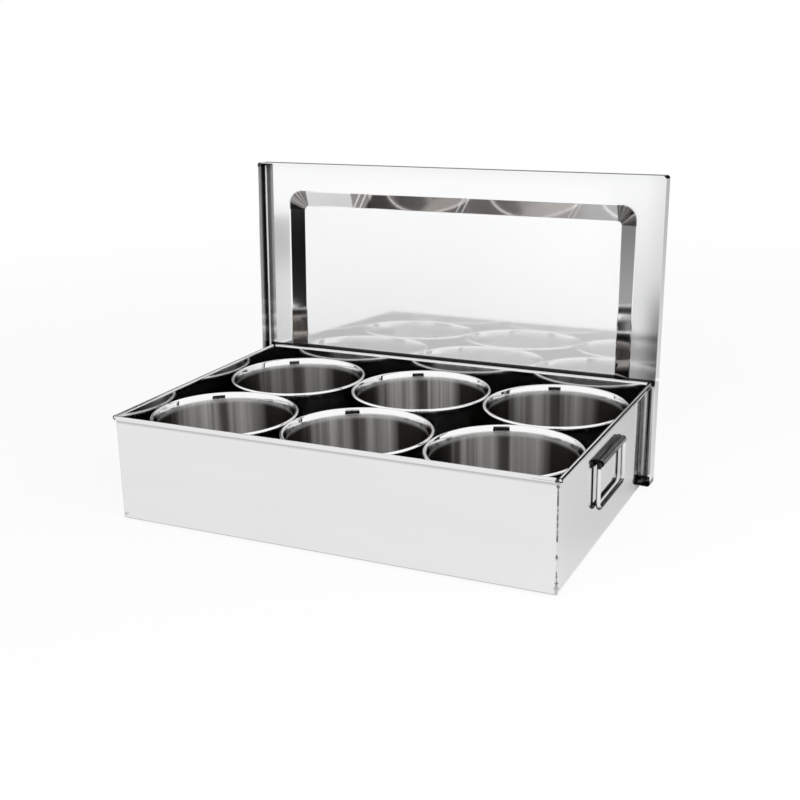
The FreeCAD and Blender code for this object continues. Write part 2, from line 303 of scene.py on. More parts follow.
# Each card that lies on the floor: name, shades at its front and back edge, and outline
FLOOR_CARDS = (
    ("card_front", (0.01, 0.01), (
        (0.02, -0.66), (0.10, -0.42), (0.24, -0.42), (0.45, -0.66), (0.90, -1.30), (1.5, -2.1),
        (2.6, -3.8), (2.6, -5.8), (0.85, -5.8), (0.40, -3.30), (0.13, -1.85), (0.01, -1.08))),
    ("card_left", (0.95, 0.68), (
        (-0.46, -0.30), (-0.505, -0.416), (-0.712, -0.781), (-1.146, -1.536),
        (-1.95, -2.95), (-2.9, -2.5), (-1.2, -1.05), (-0.75, -0.60))),
    ("card_left_side", (0.4, 0.4), (
        (-0.46, -0.22), (-0.46, -0.30), (-0.75, -0.60), (-1.2, -1.05),
        (-2.9, -2.5), (-3.4, -1.6), (-1.1, -0.45))),
    ("card_left_near", (0.85, 0.85), ((-0.216, 0.1), (-0.216, -0.155), (-0.45, -0.155), (-0.45, 0.1))),
    ("card_right", (0.93, 0.70), ((0.2135, -0.16), (0.31, -0.16), (0.31, 0.5), (0.2135, 0.5))),
    ("card_back_right", (0.03, 0.03), (
        (0.34, 0.40), (0.36, 0.52), (0.42, 0.73), (0.52, 1.1), (0.66, 1.66),
        (0.74, 2.0), (2.2, 2.0), (1.2, 0.9), (0.7, 0.45))),
    ("card_skirt", (0.85, 0.85), (
        (0.25, 0.51), (0.35, 0.51), (0.42, 0.74), (0.52, 1.1), (0.66, 1.66),
        (1.05, 3.2), (0.82, 3.2), (0.38, 1.1), (0.27, 0.62))),
)
# Each upright card: name, shades, the two ends of its foot, and its lowest and highest level
UPRIGHT_CARDS = (
    ("card_camera", (0.01, 0.01), ((0.29, -0.77), (0.55, -0.59)), (0.12, 0.46)),
    ("card_back_left", (0.3, 0.3), ((-3.2, 2.0), (0.0, 2.0)), (0.15, 2.0)),
    ("card_back", (0.03, 0.03), ((0.0, 2.0), (2.4, 2.0)), (0.15, 2.0)),
)


def make_stage():
    make_world()
    make_floor()
    for name, at, size, power in LAMPS:
        make_lamp(name, at, LAMP_AIM, size, power)
    for name, shades, outline in FLOOR_CARDS:
        make_card(name, [(x, y, CARD_LIFT) for x, y in outline], shades)
    for name, shades, ((ax, ay), (bx, by)), (low, high) in UPRIGHT_CARDS:
        make_card(name, [(ax, ay, low), (bx, by, low), (bx, by, high), (ax, ay, high)], shades)


# Materials. Pairs of numbers are the two ends of a ramp, and fours the edges of a band.
# They are places in metres, or shares of a normal or of a noise.
LEVEL = (1, 1, 0)
NOISE_SPAN = (0.2, 0.8)

# Tray
BEAD_FOOT = (0.0985, 0.0975)
TURNED_IN = (-0.03, -0.06)
TRAY_SMEAR = ((6, 6, 30), 3.0, 0.5)
TRAY_BRIGHT = ((0.77, 0.77, 0.775), grey(0.82))
# The inside's darker colour is painted shade of the tray's hollow
TRAY_INSIDE_SHADE = (0.58, 0.575, 0.585)
TRAY_STREAK = ((14, 14, 700), 4.0, 0.6)
TRAY_ROUGH = (0.05, 0.10)
TRAY_INSIDE_ROUGH = 0.12
# The painted shade in the crease under the bead, the shade at the right wall's rear end and the painted
# shade along the bottom edge
CREASE = (0.0945, 0.0974, 0.0984, 0.0992)
CREASE_SHADE_DEPTH = 0.75
CREASE_SHADE_COLOUR = (0.42, 0.415, 0.41)
REAR_SHADE = (0.0980, 0.1180)
REAR_SHADE_FACING = (0.8, 0.95)
REAR_SHADE_COLOUR = (0.34, 0.33, 0.315)
BOTTOM_SHADE = (0.0034, 0.0025)
BOTTOM_SHADE_DEPTH = 0.8
BOTTOM_SHADE_COLOUR = (0.36, 0.35, 0.34)
# Painted shade and a painted dark reflection on the bead, and dark patches at its rear corners
BEAD_ABOVE = 0.0985
BEAD_ASIDE = 0.21
BEAD_END = (0.85, 0.95)
BEAD_LINE = (-0.82, -0.62, -0.2, -0.06)
REAR_CORNER = (0.2134, 0.1425, 0.1005)
# Ragged dark patches at the bead's rear corners
REAR_PATCH_GRAIN = (700.0, 3.0, 0.5)
REAR_PATCH_RAGGED = 0.003
REAR_PATCH_REACH = (0.0062, 0.0042)
REAR_PATCH_DEPTH = 0.85
BEAD_DARK_COLOUR = (0.02, 0.018, 0.017)


def bead_shade_and_patches(graph, place, at, facing):
    """Painted shade on the beads' cut ends, a painted dark reflection along the right bead's inner side, and
    ragged dark patches at the rear corners.
    """
    # Painted shade on the beads' cut ends
    aside = graph.math("GREATER_THAN", graph.size(at["X"]), BEAD_ASIDE)
    ends = graph.times(aside, graph.ramp(graph.size(facing["Y"]), *BEAD_END))
    # A painted dark reflection along the right bead's inner side
    right = graph.math("GREATER_THAN", at["X"], BEAD_ASIDE)
    line = graph.times(graph.band(facing["X"], BEAD_LINE), right)
    # Ragged dark patches at the rear corners
    away = graph.vector("DISTANCE", graph.vector("ABSOLUTE", place), REAR_CORNER)
    ragged = graph.math("ADD", away, graph.times(graph.noise(place, *REAR_PATCH_GRAIN), REAR_PATCH_RAGGED))
    rear = graph.math("GREATER_THAN", at["Y"], 0.0)
    rear_patch = graph.times(rear, graph.ramp(ragged, *REAR_PATCH_REACH, 0.0, REAR_PATCH_DEPTH))
    bead = graph.math("GREATER_THAN", at["Z"], BEAD_ABOVE)
    return graph.times(bead, graph.most(ends, line, rear_patch))


def polished_tray():
    """Mirror-like outside with faint smears, painted shade in the crease and along the bottom edge, a bead
    with painted shade, a painted dark reflection and dark rear corners; painted shade inside.
    """
    material, graph, shader = new_material("polished_sheet")
    place, normal = place_and_normal(graph)
    at, facing = graph.parts(place), graph.parts(normal)
    outward = graph.vector("DOT_PRODUCT", normal, graph.vector("MULTIPLY", place, LEVEL))
    below = graph.ramp(at["Z"], *BEAD_FOOT)
    inside = graph.times(graph.ramp(outward, *TURNED_IN), below)
    colour = graph.mix(graph.noise(place, *TRAY_SMEAR), *TRAY_BRIGHT)
    # Painted shade in the crease under the bead
    crease = graph.times(graph.band(at["Z"], CREASE), CREASE_SHADE_DEPTH)
    colour = graph.mix(crease, colour, CREASE_SHADE_COLOUR)
    right = graph.ramp(facing["X"], *REAR_SHADE_FACING)
    rear_shade = graph.times(graph.ramp(at["Y"], *REAR_SHADE), right, below)
    colour = graph.mix(rear_shade, colour, REAR_SHADE_COLOUR)
    # Painted shade along the bottom edge
    colour = graph.mix(graph.ramp(at["Z"], *BOTTOM_SHADE, 0.0, BOTTOM_SHADE_DEPTH), colour, BOTTOM_SHADE_COLOUR)
    # Painted shade: the tray's inside is darker
    colour = graph.mix(inside, colour, TRAY_INSIDE_SHADE)
    colour = graph.mix(bead_shade_and_patches(graph, place, at, facing), colour, BEAD_DARK_COLOUR)
    graph.feed(shader["Base Color"], colour)
    shader["Metallic"].default_value = 1.0
    outer = graph.ramp(graph.noise(place, *TRAY_STREAK), *NOISE_SPAN, *TRAY_ROUGH)
    graph.feed(shader["Roughness"], graph.blend(inside, outer, TRAY_INSIDE_ROUGH))
    return material


# Wires of the rim and the bails
WIRE_WEAR = (160.0, 4.0, 0.5)
WIRE_BRIGHT = ((0.74, 0.74, 0.745), grey(0.82))
WIRE_SHADE = grey(0.03)
WIRE_ROUGH = (0.07, 0.14)
# Painted shade on the bails: their shoulders, the side towards the wall and the bottom bar
SHOULDER = (0.0750, 0.0765)
BAIL_SLOPE = 0.9
BAIL_HIDDEN = (-0.15, -0.55)
BAR_TOP = (0.0415, 0.0400)
BAR_SHINE_OUT, BAR_SHINE_UP = 0.559, 0.829
BAR_LINE = (0.975, 0.90)
BAR_DEPTH = 0.95


def polished_wire(name, shade_mask=None):
    """Polished wire with fine wear, and painted shade where the mask says."""
    material, graph, shader = new_material(name)
    place, normal = place_and_normal(graph)
    wear = graph.noise(place, *WIRE_WEAR)
    colour = graph.mix(wear, *WIRE_BRIGHT)
    if shade_mask:
        colour = graph.mix(shade_mask(graph, place, normal), colour, WIRE_SHADE)
    graph.feed(shader["Base Color"], colour)
    shader["Metallic"].default_value = 1.0
    graph.feed(shader["Roughness"], graph.ramp(wear, *NOISE_SPAN, *WIRE_ROUGH))
    return material


def bail_shade(graph, place, normal):
    """Painted shade on the bail's shoulders, on the side that it turns to the wall and on its bottom bar,
    but for a line left bright.
    """
    at, facing = graph.parts(place), graph.parts(normal)
    outward = graph.times(graph.math("SIGN", at["X"]), facing["X"])
    hidden = graph.math("ADD", outward, graph.times(facing["Z"], BAIL_SLOPE))
    shine = graph.math("ADD", graph.times(outward, BAR_SHINE_OUT), graph.times(facing["Z"], BAR_SHINE_UP))
    bar = graph.times(graph.ramp(at["Z"], *BAR_TOP), graph.ramp(shine, *BAR_LINE, 0.0, BAR_DEPTH))
    return graph.most(graph.ramp(at["Z"], *SHOULDER), graph.ramp(hidden, *BAIL_HIDDEN), bar)


# Handle straps
STRAP_STREAK = ((900, 30, 900), 3.0, 0.6)
# The strap's own dark tone, with painted shade down its outer side
STRAP_TOP = (0.1, 0.9)
STRAP_TONE_AND_SHADE = (grey(0.035), grey(0.32))
STRAP_WORN = (0.44, 0.64)
STRAP_WEAR = 0.85
STRAP_SHINE = grey(0.60)
# Painted black shade on the strap's cut ends
STRAP_END = (0.6, 0.85)
STRAP_END_SHADE = grey(0.01)
STRAP_METAL = 0.9
STRAP_ROUGH = (0.28, 0.4)


def strap_sheet():
    """Dull strap, darker down its outer side as painted shade, with drawn streaks and cut ends painted black
    as shade.
    """
    material, graph, shader = new_material("strap_sheet")
    place, normal = place_and_normal(graph)
    facing = graph.parts(normal)
    streak = graph.noise(place, *STRAP_STREAK)
    colour = graph.mix(graph.ramp(facing["Z"], *STRAP_TOP), *STRAP_TONE_AND_SHADE)
    colour = graph.mix(graph.ramp(streak, *STRAP_WORN, 0.0, STRAP_WEAR), colour, STRAP_SHINE)
    end = graph.ramp(graph.size(facing["Y"]), *STRAP_END)
    graph.feed(shader["Base Color"], graph.mix(end, colour, STRAP_END_SHADE))
    shader["Metallic"].default_value = STRAP_METAL
    graph.feed(shader["Roughness"], graph.ramp(streak, *NOISE_SPAN, *STRAP_ROUGH))
    return material


# Pots. Each has a turn in degrees, which is the direction of the axis of its painted dark reflections, and
# its wall's tone, a painted shade of its own.
POT_LOOKS = {
    "pot_front_left": (34.0, 0.93), "pot_front_middle": (27.5, 0.88), "pot_front_right": (20.3, 0.84),
    "pot_back_left": (30.3, 0.59), "pot_back_middle": (24.3, 0.97), "pot_back_right": (17.8, 0.70),
}
POT_MIDDLE = (0.5, 0.5, 0.5)
POT_WAVE = ((110, 110, 1.2), 4.0, 0.6)
WAVE_SPAN = (0.3, 0.7)
WAVE_SHIFT = 0.07
WAVE_HEIGHT = 0.00012
POT_FINE = ((700, 700, 6), 2.0, 0.5)
FINE_SHARE = 0.3
SATIN = ((0.26, 0.25, 0.235), (0.92, 0.91, 0.89))
SATIN_SPAN = (0.25, 0.75)
SATIN_ROUGH = (0.40, 0.48)
# The wall's radius as a share of the pot's width; the sectors are shares of that radius
WALL_SHARE = 0.463
# Painted dark reflections in sectors of the wall
SECTOR_LEFT = (-0.50, -0.82)
SECTOR_RIGHT = (0.46, 0.66)
SECTOR_MIDDLE = (-0.14, -0.03, 0.03, 0.14)
SECTOR_MIDDLE_DEPTH = 0.78
SECTOR_REFLECTION_COLOUR = (0.05, 0.045, 0.04)
# The half whose inner wall the photograph shows, as shares of the pot's width
FAR_HALF = (-0.06, 0.04)
POT_LEVEL = (0.6, 0.95)
POT_FLOOR = (0.90, 0.875, 0.86)
POT_FLOOR_METAL = 0.6
POT_OUTWARD = (0.0, 0.1)
POT_OUTSIDE = (grey(0.56), grey(0.68))
POT_OUTSIDE_ROUGH = 0.12
POT_EDGE_TINT = (0.35, 0.34, 0.33, 1)
DRAWN_TURN = 0.25
FLARE = (0.0815, 0.0880)
FLARE_GLOSS = (0.0830, 0.0892)
FLARE_ROUGH = 0.06
# The flare's own bright colour, and painted shade on its near half below the lip
FLARE_AND_NEAR_SHADE_COLOURS = (grey(0.94), (0.50, 0.50, 0.515))
LIP = (0.0915, 0.0900)


def dark_reflection_sectors(graph, across):
    """Painted dark reflections: a sector at both ends of the pot's axis, and a narrow one across its middle.
    """
    middle = graph.times(graph.band(across, SECTOR_MIDDLE), SECTOR_MIDDLE_DEPTH)
    return graph.most(graph.ramp(across, *SECTOR_LEFT), graph.ramp(across, *SECTOR_RIGHT), middle)


def spun_pot(name, turn, tone):
    """Satin inside with the upright waves of a drawn wall, painted dark reflections, a lighter floor, a
    polished flare with painted shade on its near half, and a polished outside.
    """
    material, graph, shader = new_material(name)
    turned = math.radians(turn)
    axis = (math.cos(turned), math.sin(turned), 0)
    square = (-axis[1], axis[0], 0)
    place, normal = place_and_normal(graph)
    height = graph.parts(place)["Z"]
    flare = graph.ramp(height, *FLARE)
    below_flare = graph.remainder(flare)
    wave = graph.ramp(graph.noise(place, *POT_WAVE), *WAVE_SPAN)
    streak = graph.blend(FINE_SHARE, wave, graph.noise(place, *POT_FINE))
    # The wall's tone, set for each pot, is painted shade
    colour = graph.mix(streak, *(tuple(tone * part for part in shade) for shade in SATIN))
    from_middle = graph.vector("SUBTRACT", graph.add("TexCoord").outputs["Generated"], POT_MIDDLE)
    across = graph.math("DIVIDE", graph.vector("DOT_PRODUCT", from_middle, axis), WALL_SHARE)
    across = graph.math("ADD", across, graph.times(graph.math("SUBTRACT", wave, 0.5), WAVE_SHIFT))
    far = graph.ramp(graph.vector("DOT_PRODUCT", from_middle, square), *FAR_HALF)
    colour = graph.mix(graph.times(dark_reflection_sectors(graph, across), far), colour, SECTOR_REFLECTION_COLOUR)
    level = graph.ramp(graph.parts(normal)["Z"], *POT_LEVEL)
    colour = graph.mix(level, colour, POT_FLOOR)
    outward = graph.vector("DOT_PRODUCT", normal, graph.vector("MULTIPLY", from_middle, LEVEL))
    outer = graph.ramp(outward, *POT_OUTWARD)
    colour = graph.mix(outer, colour, graph.mix(wave, *POT_OUTSIDE))
    # Painted shade on the near half of the flare
    near = graph.times(graph.remainder(far), graph.ramp(height, *LIP))
    graph.feed(shader["Base Color"], graph.mix(flare, colour, graph.mix(near, *FLARE_AND_NEAR_SHADE_COLOURS)))
    shader["Specular Tint"].default_value = POT_EDGE_TINT
    bottom = graph.times(level, below_flare)
    graph.feed(shader["Metallic"], graph.ramp(bottom, 0.0, 1.0, 1.0, POT_FLOOR_METAL))
    rough = graph.blend(outer, graph.ramp(streak, *SATIN_SPAN, *SATIN_ROUGH), POT_OUTSIDE_ROUGH)
    graph.feed(shader["Roughness"], graph.blend(graph.ramp(height, *FLARE_GLOSS), rough, FLARE_ROUGH))
    shader["Anisotropic"].default_value = 1.0
    shader["Anisotropic Rotation"].default_value = DRAWN_TURN
    tangent = graph.add("Tangent", direction_type="RADIAL", axis="Z")
    graph.feed(shader["Tangent"], tangent.outputs[0])
    bump = graph.add("Bump")
    bump.inputs["Distance"].default_value = WAVE_HEIGHT
    graph.feed(bump.inputs["Strength"], below_flare)
    graph.feed(bump.inputs["Height"], streak)
    graph.feed(shader["Normal"], bump.outputs[0])
    return material


# Lid. Its own axes: across, up from its middle, and out from its border towards the tray.
LID_LEAN = math.radians(2.5)
LID_HEEL = (0, 0.1426, 0)
LID_UP = (0, math.sin(LID_LEAN), math.cos(LID_LEAN))
LID_OUT = (0, -math.cos(LID_LEAN), math.sin(LID_LEAN))
# Half its length, half its height, and how far aside its skirt's fold lies
LID_HALF, LID_MIDDLE, LID_FOLD = 0.2205, 0.1514, 0.2198
LID_CENTRE = tuple(heel + LID_MIDDLE * part for heel, part in zip(LID_HEEL, LID_UP))
LEFT_TO_RIGHT = (-0.1, 0.1)
RIGHT_TO_LEFT = (0.1, -0.1)
INNER_FACE = (0.2, 0.5)
FLAT_FACE = (0.975, 0.998)
PANEL_DEPTH = (-0.002, -0.005)
PANEL_FOOT_ACROSS = (0.195, 0.193)
PANEL_FOOT_UP = (0.126, 0.124)
BORDER_DEPTH = (-0.003, -0.001)
BORDER_ABOVE = (-0.056, -0.048)
LID_SMEAR = (8.0, 3.0, 0.5)
LID_BRIGHT = ((0.95, 0.957, 0.967), grey(1.0))
# Bevels: painted dark reflections low down, and the painted reflection tint, painted shade and pairs of
# painted light lines of the top one
LOW_BEVEL_REFLECTION_BELOW = (-0.003, -0.011)
LOW_BEVEL_REFLECTION_COLOURS = ((0.37, 0.34, 0.32), (0.29, 0.27, 0.26))
TOP_FACING = (-0.15, -0.3)
# Painted reflections on the top bevel: a warm tint and pairs of light lines
TOP_REFLECTION_TINT = (-0.115, -0.10, 0.125, 0.145)
TOP_REFLECTION_TINT_COLOUR = (0.76, 0.72, 0.70)
TOP_SHADE = (-0.1180, -0.1155, -0.0970, -0.0940)
TOP_SHADE_DEPTH = 0.85
TOP_SHADE_COLOUR = (0.30, 0.29, 0.285)
TOP_LINES = (-0.1105, -0.1035, 0.0067, 0.0128, 0.1255, 0.1305)
TOP_LINE = (0.0014, 0.0007)
TOP_LINE_DEPTH = 0.8
TOP_LINE_REFLECTION_COLOUR = (1.0, 0.97, 0.95)
TOP_SLANT, TOP_RISE = 0.65, 0.1134
FAR_AWAY = 1.0
# Painted dark reflections, fanned out, in the panel's corners
PANEL_HALF, PANEL_RISE = 0.170, 0.1009
FAN_EDGE = (0.0, 0.0015)
FAN_RAYS = 9.0
FAN_NOISE = (1.0, 3.0, 0.6)
FAN_SPAN = (0.3, 0.7)
FAN_REFLECTION_COLOURS = ((0.09, 0.085, 0.082), (0.44, 0.425, 0.41))
# Right border: darker down its length and towards its fold, a little less at its foot
SHADE_FROM = (0.15, 0.188)
SHADE_DOWN = (0.15, 0.03)
SHADE_LOW = 0.745
SHADE_FOLD = (0.195, 0.219)
SHADE_FOLD_DOWN = (0.06, 0.0)
SHADE_FOLD_DEPTHS = (0.1, 0.62)
SHADE_FOOT = (-0.03, 0.0)
SHADE_FOOT_SHARE = 0.85
SHADE_COLOUR = grey(0.0)
# Skirt: painted shade inside, with a painted light edge and a painted highlight on the fold on the left
SKIRT_INWARD = (0.05, 0.1)
SKIRT_FACING = (0.6, 0.4)
SKIRT_EDGE = (0.007, 0.013)
SKIRT_SHADE_AND_EDGE_LIGHT = (grey(0.05), grey(0.75))
FOLD_HIGHLIGHT = (0.0019, 0.0011)
FOLD_HIGHLIGHT_COLOUR = grey(0.97)
# Painted shadow: a dark line where the lid meets the tray's rim, and strips where the gaps beside the tray
# show
RIM_LINE = (0.0970, 0.0985, 0.1036, 0.1048)
GAP_STRIP = (0.2112, 0.2120, 0.2138, 0.2146)
GAP_BELOW = (0.104, 0.1)
GAP_DEPTH = 0.8
INSIDE_HALF = (0.2190, 0.2180)
RIM_SHADOW_COLOUR = (0.03, 0.03, 0.032)
# Painted dark reflections on the corner welds, smaller at the top and smallest at the top right
CORNER_DARK_LOW_TO_HIGH = (-0.05, 0.05)
CORNER_DARK_SHRINK = (1.5, 2.6)
CORNER_DARK_GRAIN = (500.0, 3.0, 0.5)
CORNER_DARK_RAGGED = 0.006
CORNER_DARK_REACH = (0.0115, 0.0065)
CORNER_DARK_COLOUR = (0.03, 0.022, 0.018)
# How metallic and how rough the lid's parts are
TOP_LEFT = (-0.10, 0.0)
TOP_LEFT_METALS = (0.92, 0.80)
TOP_RIGHT = (0.05, 0.12)
TOP_RIGHT_METAL = 0.50
TOP_LINE_METAL = 0.45
VEIL_BELOW = (0.004, -0.004)
VEIL_ACROSS = (0.0, 0.1)
VEIL_METAL = 0.50
BORDER_METAL = 0.88
PANEL_METAL = 0.30
SKIRT_EDGE_DULL = 0.4
FOLD_HIGHLIGHT_METAL = 0.1
LID_STREAK = ((600, 10, 10), 4.0, 0.6)
BEVEL_ROUGH = 0.05
BORDER_ROUGH = (0.065, 0.075)
PANEL_ROUGH = (0.02, 0.05)


class LidPlace:
    """Where a point of the lid is: its place in the lid's axes, and masks of the lid's parts."""

    def __init__(self, graph, place, normal):
        at = graph.parts(place)
        local = graph.vector("SUBTRACT", place, LID_HEEL)
        self.across = at["X"]
        self.height = at["Z"]
        self.up = graph.math("SUBTRACT", graph.vector("DOT_PRODUCT", local, LID_UP), LID_MIDDLE)
        self.out = graph.vector("DOT_PRODUCT", local, LID_OUT)
        self.aside = graph.size(self.across)
        self.beyond = graph.size(self.up)
        self.left = graph.ramp(self.across, *RIGHT_TO_LEFT)
        fronted = graph.vector("DOT_PRODUCT", normal, LID_OUT)
        facing = graph.size(fronted)
        self.inner = graph.ramp(fronted, *INNER_FACE)
        self.flat = graph.ramp(facing, *FLAT_FACE)
        self.panel = graph.ramp(self.out, *PANEL_DEPTH)
        beside = graph.ramp(self.aside, *PANEL_FOOT_ACROSS)
        pressed = graph.times(beside, graph.ramp(self.beyond, *PANEL_FOOT_UP))
        self.bevel = graph.times(graph.remainder(self.flat), pressed)
        self.inner_bevel = graph.times(self.bevel, self.inner)
        upward = graph.vector("DOT_PRODUCT", normal, LID_UP)
        self.top = graph.times(graph.ramp(upward, *TOP_FACING), self.inner_bevel)
        self.lines = graph.times(self.top, self.top_lines(graph))
        border = graph.times(self.flat, self.inner, graph.ramp(self.out, *BORDER_DEPTH))
        self.border = graph.times(border, graph.ramp(self.up, *BORDER_ABOVE))
        to_centre = graph.vector("SUBTRACT", LID_CENTRE, place)
        inward = graph.ramp(graph.vector("DOT_PRODUCT", normal, to_centre), *SKIRT_INWARD)
        self.skirt = graph.times(inward, graph.ramp(facing, *SKIRT_FACING))
        self.edge = graph.times(graph.ramp(self.out, *SKIRT_EDGE), self.left)
        from_fold = graph.diagonal(graph.math("SUBTRACT", self.aside, LID_FOLD), self.out)
        self.fold_highlight = graph.times(graph.ramp(from_fold, *FOLD_HIGHLIGHT), self.left)

    def top_lines(self, graph):
        """Pairs of thin light lines, painted reflections, that cross the top bevel aslant."""
        lean = graph.times(graph.math("SUBTRACT", self.up, TOP_RISE), TOP_SLANT)
        along = graph.math("SUBTRACT", self.across, lean)
        nearest = FAR_AWAY
        for line in TOP_LINES:
            nearest = graph.math("MINIMUM", graph.size(graph.math("SUBTRACT", along, line)), nearest)
        return graph.ramp(nearest, *TOP_LINE, 0.0, TOP_LINE_DEPTH)


def colour_bevels(graph, lid, colour):
    """Painted dark reflections on the low bevels, and a painted reflection tint, a painted shade and painted
    light lines on the top one.
    """
    # Painted dark reflections on the low bevels
    low_reflection = graph.times(lid.inner_bevel, graph.ramp(lid.up, *LOW_BEVEL_REFLECTION_BELOW))
    colour = graph.mix(low_reflection, colour, graph.mix(graph.ramp(lid.across, *LEFT_TO_RIGHT), *LOW_BEVEL_REFLECTION_COLOURS))
    colour = graph.mix(graph.times(lid.top, graph.band(lid.across, TOP_REFLECTION_TINT)), colour, TOP_REFLECTION_TINT_COLOUR)
    shade = graph.times(lid.top, graph.band(lid.across, TOP_SHADE), TOP_SHADE_DEPTH)
    colour = graph.mix(shade, colour, TOP_SHADE_COLOUR)
    return graph.mix(lid.lines, colour, TOP_LINE_REFLECTION_COLOUR)


def colour_border(graph, lid, colour):
    """The shade of the right border."""
    down = graph.ramp(lid.up, *SHADE_DOWN, 1.0, SHADE_LOW, smooth=False)
    fold = graph.ramp(lid.up, *SHADE_FOLD_DOWN, *SHADE_FOLD_DEPTHS)
    fold = graph.times(graph.ramp(lid.across, *SHADE_FOLD), fold)
    light = graph.times(down, graph.remainder(fold))
    shade = graph.times(graph.remainder(light), graph.ramp(lid.across, *SHADE_FROM))
    shade = graph.times(shade, graph.ramp(lid.up, *SHADE_FOOT, SHADE_FOOT_SHARE, 1.0))
    return graph.mix(graph.times(lid.border, shade), colour, SHADE_COLOUR)


def colour_fan_reflections(graph, lid, colour):
    """Painted dark reflections, fanned out in the corners of the pressed panel."""
    aside = graph.math("SUBTRACT", lid.aside, PANEL_HALF)
    above = graph.math("SUBTRACT", lid.beyond, PANEL_RISE)
    corner = graph.times(graph.ramp(aside, *FAN_EDGE), graph.ramp(above, *FAN_EDGE))
    turn = graph.add("CombineXYZ")
    graph.feed(turn.inputs[0], graph.times(graph.math("ARCTAN2", above, aside), FAN_RAYS))
    graph.feed(turn.inputs[1], graph.math("SIGN", lid.across))
    fans = graph.ramp(graph.noise(turn.outputs[0], *FAN_NOISE), *FAN_SPAN)
    return graph.mix(graph.times(corner, lid.bevel), colour, graph.mix(fans, *FAN_REFLECTION_COLOURS))


def colour_lines(graph, lid, colour):
    """Painted shadow: the dark line at the height of the tray's rim and the strips beside the tray, on the
    inner face.
    """
    strip = graph.times(graph.band(lid.aside, GAP_STRIP), graph.ramp(lid.height, *GAP_BELOW), GAP_DEPTH)
    lines = graph.most(graph.band(lid.height, RIM_LINE), strip)
    within = graph.times(lid.inner, graph.ramp(lid.aside, *INSIDE_HALF))
    return graph.mix(graph.times(lines, within), colour, RIM_SHADOW_COLOUR)


def colour_dark_corners(graph, lid, place, colour):
    """Ragged painted dark reflections on the welds at the lid's four corners."""
    side = graph.math("SUBTRACT", lid.aside, LID_HALF)
    end = graph.math("SUBTRACT", lid.beyond, LID_MIDDLE)
    top_shrink = graph.ramp(lid.across, *LEFT_TO_RIGHT, *CORNER_DARK_SHRINK)
    shrink = graph.ramp(lid.up, *CORNER_DARK_LOW_TO_HIGH, 1.0, top_shrink)
    away = graph.times(graph.diagonal(side, end), shrink)
    ragged = graph.math("ADD", away, graph.times(graph.noise(place, *CORNER_DARK_GRAIN), CORNER_DARK_RAGGED))
    return graph.mix(graph.ramp(ragged, *CORNER_DARK_REACH), colour, CORNER_DARK_COLOUR)


def lid_metal(graph, lid):
    """Mirror bevels, a duller top bevel, a clear border with a duller low right end, and a veiled panel."""
    top = graph.ramp(lid.across, *TOP_LEFT, *TOP_LEFT_METALS)
    top = graph.ramp(lid.across, *TOP_RIGHT, top, TOP_RIGHT_METAL)
    bevels = graph.ramp(lid.top, 0.0, 1.0, 1.0, top)
    bevels = graph.blend(lid.lines, bevels, TOP_LINE_METAL)
    low_right = graph.times(graph.ramp(lid.up, *VEIL_BELOW), graph.ramp(lid.across, *VEIL_ACROSS))
    border = graph.blend(graph.times(lid.border, low_right), BORDER_METAL, VEIL_METAL)
    metal = graph.blend(lid.flat, bevels, graph.blend(lid.panel, border, PANEL_METAL))
    metal = graph.blend(graph.times(lid.skirt, lid.edge, SKIRT_EDGE_DULL), metal, 0.0)
    return graph.blend(lid.fold_highlight, metal, FOLD_HIGHLIGHT_METAL)


def pressed_lid():
    """Veiled panel, clearer border, mirror bevels, painted shade and highlights on the skirt and folds, and
    painted dark reflections at the corner welds.
    """
    material, graph, shader = new_material("pressed_lid")
    place, normal = place_and_normal(graph)
    lid = LidPlace(graph, place, normal)
    colour = graph.mix(graph.noise(place, *LID_SMEAR), *LID_BRIGHT)
    colour = colour_bevels(graph, lid, colour)
    colour = colour_border(graph, lid, colour)
    colour = colour_fan_reflections(graph, lid, colour)
    # Painted shade on the skirt's inner face, with a painted light edge
    colour = graph.mix(lid.skirt, colour, graph.mix(lid.edge, *SKIRT_SHADE_AND_EDGE_LIGHT))
    colour = colour_lines(graph, lid, colour)
    # Painted highlight on the fold
    colour = graph.mix(lid.fold_highlight, colour, FOLD_HIGHLIGHT_COLOUR)
    graph.feed(shader["Base Color"], colour_dark_corners(graph, lid, place, colour))
    graph.feed(shader["Metallic"], lid_metal(graph, lid))
    smooth, rough = (graph.blend(lid.panel, *pair) for pair in zip(BORDER_ROUGH, PANEL_ROUGH))
    level = graph.ramp(graph.noise(place, *LID_STREAK), *NOISE_SPAN, smooth, rough)
    graph.feed(shader["Roughness"], graph.blend(lid.flat, BEVEL_ROUGH, level))
    return material


# Weld seams up the tray's corners; the rim's bead stands BEAD_PROUD of the walls
BEAD_PROUD = 0.0037
SEAM_LOW, SEAM_HIGH, SEAM_STEP = 0.0030, 0.0965, 0.00035
SEAM_THICK, SEAM_THIN = 0.0007, 0.00026
SEAM_SIDES = 8
SEAM_RIPPLE_SHARE, SEAM_PITCH = 0.22, 0.0014
SEAM_SUNK_SHARE = 0.45
# Each lump: height, reach up and down, and the share of the radius that it adds
SEAM_LUMPS = ((0.0042, 0.0013, 1.1), (0.0083, 0.0015, 2.1), (0.0128, 0.0007, 1.3), (0.0347, 0.0009, 0.9),
              (0.0950, 0.0009, 1.2))
